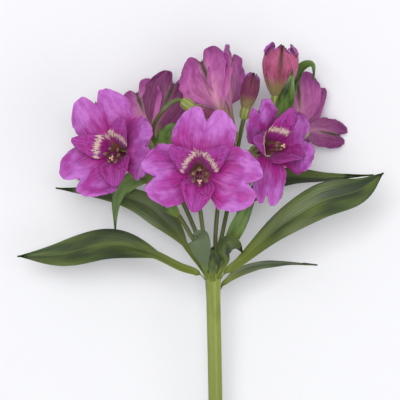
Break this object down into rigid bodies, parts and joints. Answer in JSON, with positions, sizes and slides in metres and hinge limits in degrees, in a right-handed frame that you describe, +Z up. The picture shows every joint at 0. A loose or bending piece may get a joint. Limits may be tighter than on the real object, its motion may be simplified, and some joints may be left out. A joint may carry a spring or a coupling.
{
  "type": "alstroemeria stem",
  "caption": "Cut alstroemeria stem lying down: bare stalk, whorl of lance-shaped leaves, and an umbel of open violet-pink blooms and closed buds on thin rays.",
  "frame": {"origin": "centre of the bounding box's base, on the surface that the stem lies on", "axes": "+Z up from the surface, +Y along the stem from its cut end to the umbel, +X to the right as seen from above"},
  "size_m": [0.214, 0.402, 0.1134],
  "materials": {
    "stem": "satin, fresh stalk",
    "ray": "satin, fresh stalk",
    "leaf": "soft satin leaf",
    "tepals": "matt petal with a faint sheen",
    "stamens": "matt",
    "bud": "matt petal"
  },
  "bodies": {
    "root": {"stem": "stem", "leaf_long_left": "leaf", "leaf_wide_right": "leaf", "leaf_hidden_left": "leaf", "leaf_hidden_right": "leaf", "leaf_thin_right": "leaf", "leaf_curled_front": "leaf", "leaf_pale_front": "leaf", "leaf_channelled_front": "leaf", "ray_front": "ray", "ray_left": "ray", "ray_right": "ray", "ray_top": "ray", "ray_back_left": "ray", "ray_back_right": "ray", "ray_dark": "ray", "tepals_front": "tepals", "tepals_left": "tepals", "tepals_right": "tepals", "tepals_top": "tepals", "tepals_back_left": "tepals", "tepals_back_right": "tepals", "stamens_front": "stamens", "stamens_left": "stamens", "stamens_right": "stamens", "stamens_top": "stamens", "stamens_back_left": "stamens", "stamens_back_right": "stamens", "bud_tall": "bud", "bud_dark": "bud", "bud_nodding": "bud"}
  },
  "joints": []
}
